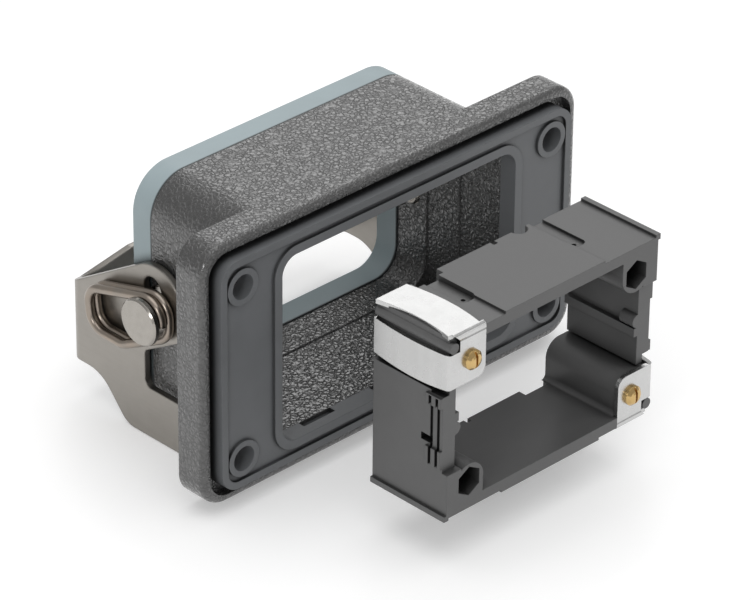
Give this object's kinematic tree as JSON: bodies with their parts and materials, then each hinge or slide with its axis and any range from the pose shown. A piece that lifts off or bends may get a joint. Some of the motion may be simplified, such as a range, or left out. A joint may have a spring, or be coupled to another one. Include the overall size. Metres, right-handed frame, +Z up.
{
  "type": "rectangular power connector bulkhead housing with locking lever and module frame",
  "caption": "Panel-mounted die-cast housing of a heavy duty rectangular connector, with a single sheet-steel locking lever, seals and a clip-in module frame drawn out in front.",
  "frame": {"origin": "centre of the four panel mounting holes, in the front plane of the panel gasket", "axes": "-Y points out of the gasket face towards the panel, +Y runs to the mating end, +X runs along the flange, +Z is up"},
  "size_m": [0.085, 0.0821, 0.0495],
  "materials": {
    "cast_black": "textured powder coat",
    "gasket_rubber": "smooth moulded",
    "seal_rubber": "smooth moulded",
    "lever_steel": "satin rolled sheet",
    "spring_wire": "drawn wire",
    "peg_steel": "turned",
    "frame_plastic": "fine moulded grain",
    "bracket_steel": "bright plated sheet",
    "brass": "turned and slotted"
  },
  "bodies": {
    "housing": {"housing_shell": "cast_black", "flange_gasket": "gasket_rubber", "mating_seal": "seal_rubber", "lever_peg_left": "peg_steel", "lever_peg_right": "peg_steel", "peg_washer_left": "peg_steel", "peg_washer_right": "peg_steel"},
    "lever": {"locking_lever": "lever_steel", "lever_spring_left": "spring_wire", "lever_spring_right": "spring_wire"},
    "module_frame": {"frame_half_lower": "frame_plastic", "frame_half_upper": "frame_plastic", "ground_bracket_lower": "bracket_steel", "ground_bracket_upper": "bracket_steel", "bracket_screw_lower": "brass", "bracket_screw_upper": "brass", "threaded_insert_lower": "brass", "threaded_insert_upper": "brass"}
  },
  "joints": [
    {"name": "lever_hinge", "type": "hinge", "parent": "housing", "child": "lever", "pos_m": [0, 0.024, -0.0006], "axis": [1, 0, 0], "range_deg": [-18, 70]},
    {"name": "frame_slide", "type": "slide", "parent": "housing", "child": "module_frame", "axis": [0, 1, 0], "range_m": [0, 0.037]}
  ]
}
